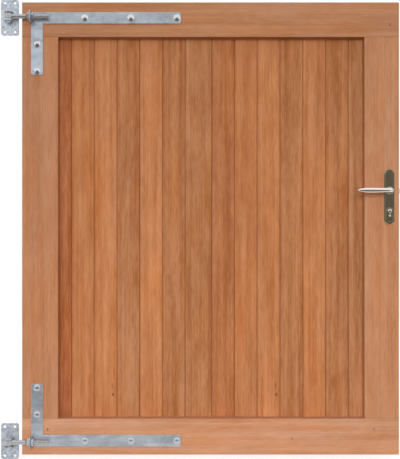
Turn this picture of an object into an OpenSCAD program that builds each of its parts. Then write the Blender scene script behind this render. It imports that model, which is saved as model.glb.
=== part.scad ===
// One leaf of a timber double gate: a rebated frame filled with tongued boards, hung on two
// adjustable eyebolt hinges and closed by a mortise lock with a lever on each face.
// Millimetres. The origin is the middle of the lower wall plate's back face.
// X runs along the leaf from hinge to lock, Y runs from the front face to the back, Z is up.

/* [Leaf] */
// Width of the leaf over its stiles
leaf_w = 1500; // [1200:10:1800]
// Height of the leaf over its rails
leaf_h = 1800; // [1600:10:2200]
// Thickness of the frame timber
frame_t = 56; // [52:1:66]
// Width of the hinge stile
hinge_stile_w = 143.5; // [130:0.5:160]
// Width of the lock stile
lock_stile_w = 137.5; // [130:0.5:160]
// Height of the top rail
top_rail_h = 138; // [128:1:150]
// Height of the bottom rail
bottom_rail_h = 143; // [128:1:155]
// Width of the eased edge along the frame timber
arris = 1.5; // [0.5:0.5:3]

/* [Frame joints] */
// Length of the tenon on each end of a stile
tenon_l = 70; // [50:1:85]
// Thickness of a tenon
tenon_t = 16; // [12:1:20]
// Width of stile left beside its tenon, on each side
tenon_shoulder = 26; // [20:1:35]
// Play around a tenon in its mortise
tenon_play = 0.2; // [0.1:0.1:0.5]

/* [Boards] */
// Width that a whole board covers
board_cover = 91.8; // [80:0.2:110]
// Width that shows of the narrow board beside the hinge stile
first_board_w = 46.2; // [35:0.2:80]
// Width that the one wider board covers
wide_board_w = 106.6; // [95:0.2:125]
// Which board from the hinge stile is the wider one
wide_board_place = 7; // [2:1:9]
// Narrowest strip left for the last board, beside the lock stile
last_board_min = 30; // [20:1:40]
// Thickness of a board
board_t = 18; // [16:1:22]
// How far the boards sit in from the back of the frame
board_back_set = 1; // [0.5:0.5:4]
// Width of the rebate that the boards lie in
rebate_w = 16; // [12:1:20]
// Play between a board's end and the rebate
rebate_play = 0.5; // [0.3:0.1:1]
// Open joint between two boards
board_gap = 0.6; // [0.4:0.1:1]
// Chamfer along each edge of a board
board_chamfer = 3.5; // [2:0.5:5]
// Thickness of a board's tongue
tongue_t = 5; // [4:0.5:6]
// Length of a board's tongue
tongue_l = 7; // [5:0.5:9]
// Play on each face of a tongue in its groove
tongue_play = 0.3; // [0.2:0.1:0.5]

/* [Hinge places] */
// Distance from the hinge pins to the edge of the leaf
pin_to_leaf = 47; // [44:1:60]
// Distance from the hinge pins to the front face of the leaf
pin_stand_off = 27; // [25:0.5:32]
// Height of the lower hinge above the bottom of the leaf
lower_hinge_rise = 57; // [45:1:75]
// Depth of the upper hinge below the top of the leaf
upper_hinge_drop = 64; // [45:1:75]

/* [Hinge straps] */
// Width of a strap's two arms
strap_w = 47; // [42:1:56]
// Thickness of a strap
strap_t = 6; // [4:0.5:8]
// Length of the arm along the rail
strap_long = 596; // [500:2:700]
// Length of the arm along the stile
strap_short = 250; // [220:1:300]
// Distance from the edge of the leaf to a strap
strap_inset = 37; // [28:1:40]
// Radius of a strap's free corners
strap_corner_r = 10; // [3:0.5:12]
// How far a strap's lug stands out from the leaf
lug_out = 46; // [45:0.5:56]
// Radius of the lug's outer corners
lug_corner_r = 12; // [6:1:16]

/* [Eyebolts] */
// Diameter of an eyebolt
rod_d = 18; // [16:0.5:20]
// Distance from the hinge pin to the end of an eyebolt
rod_reach = 156; // [140:1:180]
// Play around an eyebolt in the strap's lug
rod_play = 0.5; // [0.3:0.1:1]
// Outside diameter of the eye
eye_d = 32; // [28:1:36]
// Height of the eye
eye_h = 21; // [19:1:30]
// Length of the taper from the eye to the bolt
eye_taper = 16; // [8:1:20]
// Width of an adjusting nut across its flats
rod_nut_af = 27; // [25:1:30]
// Thickness of an adjusting nut
rod_nut_t = 10; // [8:1:18]
// Play in a nut's thread
thread_play = 0.1; // [0.05:0.05:0.2]

/* [Wall plates] */
// Width of a wall plate
plate_w = 70; // [64:1:76]
// Height of a wall plate
plate_h = 142; // [130:1:170]
// Thickness of a wall plate
plate_t = 6; // [4:0.5:8]
// Radius of a wall plate's corners
plate_corner_r = 9; // [4:0.5:12]
// Diameter of the four fixing holes
plate_hole_d = 11; // [8:0.5:12]
// Distance between the fixing holes across the plate
plate_hole_x = 40; // [36:1:46]
// Distance between the fixing holes up the plate
plate_hole_z = 115; // [100:1:120]
// Width of the two knuckles that hold the pin
knuckle_w = 32; // [28:1:36]
// Thickness of a knuckle
knuckle_t = 7; // [5:0.5:10]
// Play between an eye and the knuckle it bears on
knuckle_play = 0.4; // [0.3:0.1:0.8]
// Open space between an eye and the other knuckle
knuckle_slack = 4.4; // [1:0.2:8]
// Diameter of a hinge pin
pin_d = 16; // [12:0.5:17]
// Play around a hinge pin
pin_play = 0.2; // [0.1:0.05:0.3]
// Diameter of a pin's head
pin_head_d = 24; // [21:1:28]
// Thickness of a pin's head
pin_head_t = 4; // [2:0.5:6]
// How far a pin's tail stands out below
pin_tail = 6; // [3:0.5:12]

/* [Strap bolts] */
// Diameter of a strap bolt
bolt_d = 10; // [8:0.5:12]
// Play around a strap bolt
bolt_play = 0.2; // [0.1:0.05:0.4]
// Diameter of a domed bolt head
bolt_head_d = 29; // [22:1:32]
// Height of a domed bolt head
bolt_head_h = 6; // [4:0.5:9]
// Number of bolts in the arm along the rail
long_bolts = 3; // [2:1:3]
// Distance between those bolts
long_bolt_pitch = 183; // [120:1:200]
// Distance from the last of them to the end of the arm
long_bolt_end = 17; // [16:1:30]
// Number of bolts in the arm along the stile
short_bolts = 2; // [1:1:2]
// Distance between those bolts
short_bolt_pitch = 107; // [80:1:120]
// Distance from the last of them to the end of the arm
short_bolt_end = 16; // [15:1:24]
// Diameter of the washers behind the frame
washer_d = 30; // [24:1:34]
// Thickness of the washers
washer_t = 2.5; // [1.5:0.5:4]
// Width of a strap bolt's nut across its flats
bolt_nut_af = 17; // [15:1:19]
// Thickness of a strap bolt's nut
bolt_nut_t = 8; // [6:0.5:12]
// Bolt thread that shows past the nut
bolt_tail = 4; // [2:0.5:8]

/* [Handles] */
// Height of the lever's axis above the bottom of the leaf
lever_rise = 1050; // [950:5:1150]
// Distance from the lock edge of the leaf to the lever's axis
lever_backset = 40; // [35:1:55]
// Width of a handle plate
shield_w = 40; // [36:1:46]
// Height of a handle plate above the lever's axis
shield_up = 87; // [70:1:100]
// Height of a handle plate below the lever's axis
shield_down = 135; // [132:1:170]
// Thickness of a handle plate
shield_t = 8; // [6:0.5:12]
// Sloping rim around a handle plate
shield_bevel = 3; // [1:0.5:4]
// Length of a lever from its axis to its tip
lever_l = 135; // [110:1:150]
// How far the middle of a lever stands out from the leaf
lever_out = 50; // [44:1:60]
// Radius of the bend between neck and lever
lever_bend = 15; // [13:0.5:22]
// Diameter of a lever's neck
neck_d = 17; // [15:0.5:18]
// Diameter of a lever at its thickest
grip_d = 23; // [19:0.5:26]
// Length of a lever's tapering tip
tip_l = 46; // [25:1:60]
// Diameter of the collar around a lever's neck
collar_d = 30; // [22:1:32]
// Thickness of the collar
collar_t = 5; // [2:0.5:6]
// Play around a lever's neck and under its collar
neck_play = 0.3; // [0.2:0.05:0.5]
// Side of the square spindle
spindle_w = 8; // [7:0.5:9]
// Length of spindle inside each lever
spindle_grip = 14; // [8:1:18]
// Play around the spindle
spindle_play = 0.15; // [0.1:0.05:0.3]

/* [Lock] */
// Distance from the lever's axis down to the key's axis
key_drop = 80; // [72:1:92]
// Diameter of the round part of the lock cylinder
cylinder_d = 17; // [16:0.5:18]
// Width of the flat part of the lock cylinder
cylinder_web = 10; // [8:0.5:11]
// Height of the lock cylinder
cylinder_h = 33; // [31:0.5:35]
// How far the lock cylinder stands out from its guard
cylinder_proud = 2; // [1:0.5:4]
// Play around the lock cylinder
cylinder_play = 0.3; // [0.2:0.1:0.6]
// Distance from the lever's axis down to the guard's middle
guard_drop = 95; // [90:1:100]
// Width of the raised guard around the lock cylinder
guard_w = 30; // [26:1:33]
// Height of the raised guard
guard_h = 56; // [48:1:60]
// How far the guard stands out from the handle plate
guard_t = 4; // [2:0.5:6]
// Width of the key slot
key_slot_w = 2; // [1:0.5:3]
// Height of the key slot
key_slot_h = 9; // [6:0.5:10]
// Depth of the key slot
key_slot_depth = 12; // [6:1:20]
// Width of the lock's face plate
forend_w = 20; // [18:1:24]
// Thickness of the lock's face plate
forend_t = 3; // [2:0.5:4]
// Height of the face plate above the lever's axis
forend_up = 74; // [60:1:90]
// Height of the face plate below the lever's axis
forend_down = 161; // [150:1:180]
// Depth of the lock case behind its face plate
case_depth = 70; // [62:1:85]
// Thickness of the lock case
case_t = 15; // [13.5:0.5:17]
// Height of the lock case above the lever's axis
case_up = 44; // [35:1:55]
// Height of the lock case below the lever's axis
case_down = 132; // [126:1:145]
// Play around the lock in the stile
lock_play = 0.3; // [0.2:0.1:0.6]
// Thickness of the latch and of the dead bolt
bolt_bar_t = 11; // [9:0.5:12]
// Length of the latch and of the dead bolt inside the lock
bolt_bar_l = 28; // [20:1:30]
// Height of the latch
latch_h = 20; // [16:1:24]
// How far the latch stands out
latch_out = 12; // [8:0.5:15]
// Height of the dead bolt
dead_bolt_h = 34; // [28:1:38]
// Distance from the lever's axis down to the dead bolt's middle
dead_bolt_drop = 46; // [40:1:52]
// Play around the latch and the dead bolt
bolt_bar_play = 0.2; // [0.1:0.1:0.4]

/* [Hidden] */
$fn = 64;
wood = "#bb7f55";
wood_dark = "#a8704a";
zinc = "#a9b0b8";
bright_zinc = "#c4c9cf";
steel = "#cfcac2";
dark_steel = "#595444";

// Reach of a cutter past the face that it cuts
over = 1;

// Knuckles stand evenly about a wall plate's middle. The lower eye bears on the knuckle above it
// and the upper eye on the knuckle below it.
knuckle_z0 = (eye_h + knuckle_slack + knuckle_play) / 2;
eye_offset = (knuckle_slack - knuckle_play) / 2;
lower_hinge_z = eye_offset;

// Edges of the leaf and of the opening inside its frame
leaf_x0 = pin_to_leaf;
leaf_x1 = leaf_x0 + leaf_w;
leaf_z0 = lower_hinge_z - lower_hinge_rise;
leaf_z1 = leaf_z0 + leaf_h;
open_x0 = leaf_x0 + hinge_stile_w;
open_x1 = leaf_x1 - lock_stile_w;
open_z0 = leaf_z0 + bottom_rail_h;
open_z1 = leaf_z1 - top_rail_h;
upper_hinge_z = leaf_z1 - upper_hinge_drop;
upper_plate_z = upper_hinge_z + eye_offset;

// Boards: their faces, their seams counted from the hinge stile, and their number
board_y1 = frame_t - board_back_set;
board_y0 = board_y1 - board_t;
board_mid_y = (board_y0 + board_y1) / 2;
open_w = open_x1 - open_x0;
whole_boards = floor((open_w - first_board_w - wide_board_w - last_board_min) / board_cover);
board_count = whole_boards + 3;
function seam_x(i) =
    i == 0 ? open_x0
    : i == board_count ? open_x1
    : open_x0 + first_board_w + (i - 1) * board_cover
        + (i >= wide_board_place ? wide_board_w - board_cover : 0);
function board_name(i) = str("board_", i < 10 ? "0" : "", i);

// Tenons stand in the middle of the timber in front of the boards
tenon_y0 = (board_y0 - tenon_t) / 2;

// Straps lie on the front face, level with the hinge at their inner corner
strap_x0 = leaf_x0 + strap_inset;
strap_x1 = strap_x0 + strap_long;
strap_z1 = strap_short - strap_w / 2;
strap_bolt_places = concat(
    [for (i = [0:long_bolts - 1]) [strap_x1 - long_bolt_end - i * long_bolt_pitch, 0]],
    [for (i = [0:short_bolts - 1])
        [strap_x0 + strap_w / 2, strap_z1 - short_bolt_end - i * short_bolt_pitch]]
);
bolt_head_r = bolt_head_d / 2;
dome_r = (bolt_head_r * bolt_head_r + bolt_head_h * bolt_head_h) / (2 * bolt_head_h);
rod_chamfer = 2;

// Lever's axis, and the face of the guard around the lock cylinder
lever_x = leaf_x1 - lever_backset;
lever_z = leaf_z0 + lever_rise;
guard_y = shield_t + guard_t;
cylinder_web_z = cylinder_h - cylinder_d / 2 - cylinder_web / 2;
neck_root = 1;
grip_l = lever_l - lever_bend;
grip_steps = 10;
tip_steps = 8;
function grip_r(s) =
    s < grip_l - tip_l
    ? neck_d / 2 + (grip_d - neck_d) / 2 * sin(90 * s / (grip_l - tip_l))
    : grip_d / 2 * sqrt(max(0, 1 - pow((s - grip_l + tip_l) / tip_l, 2)));
follower_d = spindle_w * sqrt(2) + 4 * spindle_play;
latch_slope = 0.7;

// Flat shape drawn in X and Z, as thick as y_from to y_to
module slab(y_from, y_to) {
    translate([0, y_to, 0]) rotate([90, 0, 0]) linear_extrude(y_to - y_from) children();
}

// Flat shape drawn in Y and Z, as long as x_from to x_to
module bar_along_x(x_from, x_to) {
    translate([x_from, 0, 0]) rotate([90, 0, 90]) linear_extrude(x_to - x_from) children();
}

module rod_y(d, y_from, y_to) {
    slab(y_from, y_to) circle(d = d);
}

module hex_2d(across_flats) {
    circle(d = across_flats / cos(30), $fn = 6);
}

module rounded_rectangle(w, h, r) {
    square([w - 2 * r, h], center = true);
    square([w, h - 2 * r], center = true);
    for (x = [-1, 1], y = [-1, 1]) translate([x * (w / 2 - r), y * (h / 2 - r)]) circle(r = r);
}

// Upright shape with round ends
module stadium(w, z_low, z_high) {
    translate([-w / 2, z_low + w / 2]) square([w, z_high - z_low - w]);
    for (z = [z_low + w / 2, z_high - w / 2]) translate([0, z]) circle(d = w);
}

module eased_rectangle(a, b) {
    polygon([
        [arris, 0], [a - arris, 0], [a, arris], [a, b - arris],
        [a - arris, b], [arris, b], [0, b - arris], [0, arris]
    ]);
}

// The upper hinge hangs the other way up
module at_lower_hinge() {
    translate([0, 0, lower_hinge_z]) children();
}

module at_upper_hinge() {
    translate([0, 0, upper_hinge_z]) mirror([0, 0, 1]) children();
}

module at_front_lever() {
    translate([lever_x, 0, lever_z]) children();
}

module at_back_lever() {
    translate([lever_x, frame_t, lever_z]) mirror([0, 1, 0]) children();
}

// Frame

module board_rebate() {
    translate([open_x0 - rebate_w, board_y0, open_z0 - rebate_w])
        cube([
            open_w + 2 * rebate_w,
            frame_t - board_y0 + over,
            open_z1 - open_z0 + 2 * rebate_w
        ]);
}

module strap_bolt_holes() {
    for (p = strap_bolt_places) translate([p[0], 0, p[1]])
        rod_y(bolt_d + 2 * bolt_play, -strap_t - over, frame_t + over);
}

module frame_bolt_holes() {
    at_lower_hinge() strap_bolt_holes();
    at_upper_hinge() strap_bolt_holes();
}

// Tenon of a stile of width w at x, reaching from z_from to z_to, with play around it for the mortise
module tenon(x, w, z_from, z_to, play = 0) {
    translate([x + tenon_shoulder - play, tenon_y0 - play, z_from - play])
        cube([w - 2 * tenon_shoulder + 2 * play, tenon_t + 2 * play, z_to - z_from + 2 * play]);
}

module rail(z, h, tenon_z0, tenon_z1) {
    color(wood) difference() {
        bar_along_x(leaf_x0, leaf_x1) translate([0, z]) eased_rectangle(frame_t, h);
        board_rebate();
        tenon(leaf_x0, hinge_stile_w, tenon_z0, tenon_z1, tenon_play);
        tenon(open_x1, lock_stile_w, tenon_z0, tenon_z1, tenon_play);
        frame_bolt_holes();
    }
}

module top_rail() {
    rail(open_z1, top_rail_h, open_z1 - over, open_z1 + tenon_l);
}

module bottom_rail() {
    rail(leaf_z0, bottom_rail_h, open_z0 - tenon_l, open_z0 + over);
}

module stile(x, w) {
    translate([x, 0, open_z0]) linear_extrude(open_z1 - open_z0) eased_rectangle(w, frame_t);
    tenon(x, w, open_z0 - tenon_l, open_z1 + tenon_l);
}

module hinge_stile() {
    color(wood) difference() {
        stile(leaf_x0, hinge_stile_w);
        board_rebate();
        frame_bolt_holes();
    }
}

module lock_stile() {
    color(wood) difference() {
        stile(open_x1, lock_stile_w);
        board_rebate();
        lock_mortise();
        at_front_lever() {
            rod_y(neck_d, -over, frame_t + over);
            translate([0, 0, -key_drop]) slab(-over, frame_t + over) cylinder_profile(2 * cylinder_play);
        }
    }
}

// Boards

// Edge points from the front face to the back: a chamfer, a tongue or groove, a chamfer.
// dir is -1 on a board's left edge and 1 on its right.
function eased_edge(x, dir, step, t) = [
    [x - dir * board_chamfer, board_y0], [x, board_y0 + board_chamfer],
    [x, board_mid_y - t / 2], [x + step, board_mid_y - t / 2],
    [x + step, board_mid_y + t / 2], [x, board_mid_y + t / 2],
    [x, board_y1 - board_chamfer], [x - dir * board_chamfer, board_y1]
];

function square_edge(x) = [[x, board_y0], [x, board_y1]];

function left_edge(i) =
    i == 1 ? square_edge(open_x0 - rebate_w + rebate_play)
    : eased_edge(seam_x(i - 1) + board_gap / 2, -1, tongue_l, tongue_t + 2 * tongue_play);

function right_edge(i) =
    i == board_count ? square_edge(open_x1 + rebate_w - rebate_play)
    : eased_edge(seam_x(i) - board_gap / 2, 1, tongue_l, tongue_t);

function reversed(list) = [for (i = [len(list) - 1:-1:0]) list[i]];

module board(i) {
    board_z0 = open_z0 - rebate_w + rebate_play;
    board_z1 = open_z1 + rebate_w - rebate_play;
    color(i % 3 == 0 ? wood_dark : wood) translate([0, 0, board_z0])
        linear_extrude(board_z1 - board_z0) polygon(concat(left_edge(i), reversed(right_edge(i))));
}

// Hinges

module strap_arm(x0, x1, z0, z1) {
    translate([(x0 + x1) / 2, (z0 + z1) / 2]) rounded_rectangle(x1 - x0, z1 - z0, strap_corner_r);
}

module strap_lug() {
    difference() {
        bar_along_x(strap_x0, strap_x0 + strap_t) {
            translate([-lug_out / 2, 0]) rounded_rectangle(lug_out, strap_w, lug_corner_r);
            translate([-lug_out / 2, -strap_w / 2]) square([lug_out / 2, strap_w]);
        }
        translate([0, -pin_stand_off, 0]) rotate([0, 90, 0])
            cylinder(d = rod_d + 2 * rod_play, h = strap_x0 + strap_t + over);
    }
}

// One plate of two arms, square at the corner where they meet, with the eyebolt's lug on its end
module strap() {
    color(zinc) {
        difference() {
            slab(-strap_t, 0) {
                strap_arm(strap_x0, strap_x1, -strap_w / 2, strap_w / 2);
                strap_arm(strap_x0, strap_x0 + strap_w, -strap_w / 2, strap_z1);
                translate([strap_x0, -strap_w / 2]) square(strap_w);
            }
            strap_bolt_holes();
        }
        strap_lug();
    }
}

module eyebolt() {
    eye_taper_x = eye_d / 2 + eye_taper;
    color(zinc) translate([0, -pin_stand_off, 0]) difference() {
        union() {
            translate([0, 0, -eye_h / 2]) cylinder(d = eye_d, h = eye_h);
            rotate([0, 90, 0]) {
                cylinder(d1 = eye_h, d2 = rod_d, h = eye_taper_x);
                cylinder(d = rod_d, h = rod_reach - rod_chamfer);
                translate([0, 0, rod_reach - rod_chamfer])
                    cylinder(d1 = rod_d, d2 = rod_d - 2 * rod_chamfer, h = rod_chamfer);
            }
        }
        translate([0, 0, -eye_h / 2 - over]) cylinder(d = pin_d + 2 * pin_play, h = eye_h + 2 * over);
    }
}

// One nut on each side of the strap's lug
module eyebolt_nuts() {
    color(bright_zinc) for (x = [strap_x0 - rod_nut_t, strap_x0 + strap_t])
        translate([x, -pin_stand_off, 0]) rotate([0, 90, 0]) linear_extrude(rod_nut_t) difference() {
            hex_2d(rod_nut_af);
            circle(d = rod_d + 2 * thread_play);
        }
}

module knuckle(z) {
    translate([0, 0, z]) linear_extrude(knuckle_t) {
        translate([-knuckle_w / 2, -pin_stand_off]) square([knuckle_w, pin_stand_off - plate_t / 2]);
        translate([0, -pin_stand_off]) circle(d = knuckle_w);
    }
}

module wall_plate() {
    color(zinc) difference() {
        union() {
            slab(-plate_t, 0) difference() {
                rounded_rectangle(plate_w, plate_h, plate_corner_r);
                for (x = [-1, 1], z = [-1, 1])
                    translate([x * plate_hole_x / 2, z * plate_hole_z / 2]) circle(d = plate_hole_d);
            }
            knuckle(knuckle_z0);
            knuckle(-knuckle_z0 - knuckle_t);
        }
        translate([0, -pin_stand_off, -knuckle_z0 - knuckle_t - over])
            cylinder(d = pin_d + 2 * pin_play, h = 2 * (knuckle_z0 + knuckle_t + over));
    }
}

module hinge_pin() {
    pin_top = knuckle_z0 + knuckle_t;
    color(bright_zinc) translate([0, -pin_stand_off, 0]) {
        translate([0, 0, -pin_top - pin_tail]) cylinder(d = pin_d, h = 2 * pin_top + pin_tail);
        translate([0, 0, pin_top]) cylinder(d = pin_head_d, h = pin_head_t);
    }
}

module dome_head() {
    head_y = -strap_t - bolt_head_h;
    intersection() {
        translate([0, head_y + dome_r, 0]) sphere(r = dome_r);
        rod_y(bolt_head_d + over, head_y - over, -strap_t);
    }
}

module strap_bolts() {
    color(bright_zinc) for (p = strap_bolt_places) translate([p[0], 0, p[1]]) {
        dome_head();
        rod_y(bolt_d, -strap_t, frame_t + washer_t + bolt_nut_t + bolt_tail);
    }
}

module strap_nuts() {
    color(bright_zinc) for (p = strap_bolt_places) translate([p[0], 0, p[1]]) difference() {
        union() {
            rod_y(washer_d, frame_t, frame_t + washer_t);
            slab(frame_t + washer_t, frame_t + washer_t + bolt_nut_t) hex_2d(bolt_nut_af);
        }
        rod_y(bolt_d + 2 * thread_play, frame_t - over, frame_t + washer_t + bolt_nut_t + over);
    }
}

// Handles and lock

module cylinder_profile(play = 0) {
    circle(d = cylinder_d + 2 * play);
    translate([-cylinder_web / 2 - play, -cylinder_web_z]) square([cylinder_web + 2 * play, cylinder_web_z]);
    translate([0, -cylinder_web_z]) circle(d = cylinder_web + 2 * play);
}

// Handle plate with a sloping rim, on the face that y = 0 stands for
module shield_body() {
    rim_y = shield_t - shield_bevel;
    slab(-rim_y, 0) stadium(shield_w, -shield_down, shield_up);
    for (z = [shield_w / 2 - shield_down, shield_up - shield_w / 2])
        translate([0, -rim_y, z]) rotate([90, 0, 0])
            cylinder(d1 = shield_w, d2 = shield_w - 2 * shield_bevel, h = shield_bevel);
    translate([0, 0, shield_w / 2 - shield_down]) linear_extrude(shield_up + shield_down - shield_w)
        polygon([
            [-shield_w / 2, -rim_y], [shield_w / 2, -rim_y],
            [shield_w / 2 - shield_bevel, -shield_t], [shield_bevel - shield_w / 2, -shield_t]
        ]);
}

module handle_plate() {
    color(dark_steel) difference() {
        union() {
            shield_body();
            slab(-guard_y, -shield_t / 2) stadium(guard_w, -guard_drop - guard_h / 2, guard_h / 2 - guard_drop);
        }
        rod_y(neck_d + 2 * neck_play, -shield_t - over, over);
        translate([0, 0, -key_drop]) slab(-guard_y - over, over) cylinder_profile(cylinder_play);
    }
}

module lever() {
    neck_y = lever_bend - lever_out;
    color(steel) difference() {
        union() {
            rod_y(neck_d, neck_y, -neck_root);
            rod_y(collar_d, -shield_t - neck_play - collar_t, -shield_t - neck_play);
            translate([-lever_bend, neck_y, 0]) rotate([0, 0, -90]) rotate_extrude(angle = 90)
                translate([lever_bend, 0]) circle(d = neck_d);
            translate([-lever_bend, -lever_out, 0]) rotate([0, -90, 0]) rotate_extrude() polygon(concat(
                [[0, 0]],
                [for (k = [0:grip_steps]) let (s = (grip_l - tip_l) * k / grip_steps) [grip_r(s), s]],
                [for (k = [1:tip_steps - 1]) let (s = grip_l - tip_l + tip_l * sin(90 * k / tip_steps))
                    [grip_r(s), s]],
                [[0, grip_l]]
            ));
        }
        slab(-neck_root - spindle_grip, over) square(spindle_w + 2 * spindle_play, center = true);
    }
}

module lever_spindle() {
    spindle_end = neck_root + spindle_grip - spindle_play;
    color(zinc) at_front_lever() slab(-spindle_end, frame_t + spindle_end) square(spindle_w, center = true);
}

module lock_cylinder() {
    cylinder_end = guard_y + cylinder_proud;
    color(bright_zinc) at_front_lever() translate([0, 0, -key_drop]) difference() {
        slab(-cylinder_end, frame_t + cylinder_end) cylinder_profile();
        for (y = [-cylinder_end - over, frame_t + cylinder_end - key_slot_depth])
            slab(y, y + key_slot_depth + over) square([key_slot_w, key_slot_h], center = true);
    }
}

// Shape of the lock's face plate or case across the leaf's edge
module forend_2d(play = 0) {
    translate([frame_t / 2, lever_z]) stadium(forend_w + 2 * play, -forend_down - play, forend_up + play);
}

module case_2d(play = 0) {
    translate([frame_t / 2 - case_t / 2 - play, lever_z - case_down - play])
        square([case_t + 2 * play, case_up + case_down + 2 * play]);
}

module lock_mortise() {
    bar_along_x(leaf_x1 - forend_t, leaf_x1 + over) forend_2d(lock_play);
    bar_along_x(leaf_x1 - forend_t - case_depth - lock_play, leaf_x1) case_2d(lock_play);
}

// Square-ended bar of the lock, its middle at height z, standing out past the edge of the leaf
module bolt_bar(z, h, out, play = 0) {
    translate([leaf_x1 - bolt_bar_l - play, (frame_t - bolt_bar_t) / 2 - play, z - h / 2 - play])
        cube([bolt_bar_l + out + 2 * play, bolt_bar_t + 2 * play, h + 2 * play]);
}

module mortise_lock() {
    color(steel) difference() {
        union() {
            bar_along_x(leaf_x1 - forend_t, leaf_x1) forend_2d();
            bar_along_x(leaf_x1 - forend_t - case_depth, leaf_x1 - forend_t / 2) case_2d();
        }
        at_front_lever() {
            rod_y(follower_d, 0, frame_t);
            translate([0, 0, -key_drop]) slab(0, frame_t) cylinder_profile(cylinder_play);
        }
        bolt_bar(lever_z, latch_h, over, bolt_bar_play);
        bolt_bar(lever_z - dead_bolt_drop, dead_bolt_h, over, bolt_bar_play);
    }
}

// The latch slopes towards the back, where the leaf closes
module latch_bolt() {
    color(bright_zinc) difference() {
        bolt_bar(lever_z, latch_h, latch_out);
        translate([0, 0, lever_z - latch_h]) linear_extrude(2 * latch_h) polygon([
            [leaf_x1 + latch_out, frame_t / 2 + bolt_bar_t / 2 - bolt_bar_t * latch_slope],
            [leaf_x1 + latch_out + over, frame_t / 2 + bolt_bar_t / 2 - bolt_bar_t * latch_slope],
            [leaf_x1 + latch_out + over, frame_t],
            [leaf_x1 + latch_out * (1 - latch_slope), frame_t / 2 + bolt_bar_t / 2 + over],
            [leaf_x1 + latch_out * (1 - latch_slope), frame_t / 2 + bolt_bar_t / 2]
        ]);
    }
}

module dead_bolt() {
    color(bright_zinc) bolt_bar(lever_z - dead_bolt_drop, dead_bolt_h, 0);
}

translate([0, 0, upper_plate_z]) wall_plate();  // upper_wall_plate
wall_plate();  // lower_wall_plate
translate([0, 0, upper_plate_z]) hinge_pin();  // upper_hinge_pin
hinge_pin();  // lower_hinge_pin
top_rail();
bottom_rail();
hinge_stile();
lock_stile();
for (i = [1:board_count]) board(i);
at_upper_hinge() strap();  // upper_strap
at_lower_hinge() strap();  // lower_strap
at_upper_hinge() eyebolt();  // upper_eyebolt
at_lower_hinge() eyebolt();  // lower_eyebolt
at_upper_hinge() eyebolt_nuts();  // upper_eyebolt_nuts
at_lower_hinge() eyebolt_nuts();  // lower_eyebolt_nuts
at_upper_hinge() strap_bolts();  // upper_strap_bolts
at_lower_hinge() strap_bolts();  // lower_strap_bolts
at_upper_hinge() strap_nuts();  // upper_strap_nuts
at_lower_hinge() strap_nuts();  // lower_strap_nuts
at_front_lever() handle_plate();  // front_handle_plate
at_back_lever() handle_plate();  // back_handle_plate
lock_cylinder();
mortise_lock();
latch_bolt();
dead_bolt();
at_front_lever() lever();  // front_lever
at_back_lever() lever();  // back_lever
lever_spindle();
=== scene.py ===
import math

import bmesh
import bpy
from mathutils import Matrix, Vector


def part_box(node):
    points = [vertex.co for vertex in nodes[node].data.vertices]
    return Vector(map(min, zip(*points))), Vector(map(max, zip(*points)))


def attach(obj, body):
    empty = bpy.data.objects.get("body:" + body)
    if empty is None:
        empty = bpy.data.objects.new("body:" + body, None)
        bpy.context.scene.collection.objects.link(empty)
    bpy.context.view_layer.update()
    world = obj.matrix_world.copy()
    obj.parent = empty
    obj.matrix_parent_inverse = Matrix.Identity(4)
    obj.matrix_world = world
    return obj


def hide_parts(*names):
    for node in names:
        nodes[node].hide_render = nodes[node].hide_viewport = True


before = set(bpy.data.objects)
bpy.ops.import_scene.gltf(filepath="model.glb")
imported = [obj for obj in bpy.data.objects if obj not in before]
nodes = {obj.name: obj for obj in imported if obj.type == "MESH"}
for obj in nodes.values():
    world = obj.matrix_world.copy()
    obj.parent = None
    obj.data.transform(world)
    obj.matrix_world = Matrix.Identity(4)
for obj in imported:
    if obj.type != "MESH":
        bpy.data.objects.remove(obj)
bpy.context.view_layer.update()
mm = 0.001
print("frame loaded:", len(nodes), "solids")

# materials: small helpers for the node trees


def newTree(name):
    mat = bpy.data.materials.new(name)
    mat.use_nodes = True
    tree = mat.node_tree
    tree.nodes.clear()
    out = tree.nodes.new("ShaderNodeOutputMaterial")
    shader = tree.nodes.new("ShaderNodeBsdfPrincipled")
    tree.links.new(shader.outputs[0], out.inputs["Surface"])
    return mat, tree, shader


def addNode(tree, kind, sockets=None, **settings):
    node = tree.nodes.new(kind)
    for key, value in settings.items():
        setattr(node, key, value)
    for key, value in (sockets or {}).items():
        if isinstance(value, bpy.types.NodeSocket):
            tree.links.new(value, node.inputs[key])
        else:
            node.inputs[key].default_value = value
    return node


def noise(tree, vector, scale, detail=3.0, roughness=0.5, distortion=0.0):
    return addNode(tree, "ShaderNodeTexNoise", {
        "Vector": vector, "Scale": scale, "Detail": detail, "Roughness": roughness,
        "Distortion": distortion}).outputs["Fac"]


def maths(tree, operation, a, b=0.0):
    return addNode(tree, "ShaderNodeMath", {0: a, 1: b}, operation=operation).outputs[0]


def spread(tree, value, low, high, toLow=0.0, toHigh=1.0):
    return addNode(tree, "ShaderNodeMapRange", {
        "Value": value, "From Min": low, "From Max": high, "To Min": toLow, "To Max": toHigh}).outputs[0]


def weighted(tree, *pairs):
    total = None
    for value, weight in pairs:
        part = maths(tree, "MULTIPLY", value, weight)
        total = part if total is None else maths(tree, "ADD", total, part)
    return total


def mixColour(tree, factor, a, b, blend="MIX"):
    node = tree.nodes.new("ShaderNodeMix")
    node.data_type = "RGBA"
    node.blend_type = blend
    # a mix of colours has its factor at socket 0 and its two colours at 6 and 7
    for index, value in ((0, factor), (6, a), (7, b)):
        if isinstance(value, bpy.types.NodeSocket):
            tree.links.new(value, node.inputs[index])
        else:
            node.inputs[index].default_value = value if index == 0 else (*value, 1.0)
    return node.outputs[2]


def bump(tree, shader, height, distance, strength):
    node = addNode(tree, "ShaderNodeBump", {"Height": height, "Distance": distance, "Strength": strength})
    tree.links.new(node.outputs[0], shader.inputs["Normal"])


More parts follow.
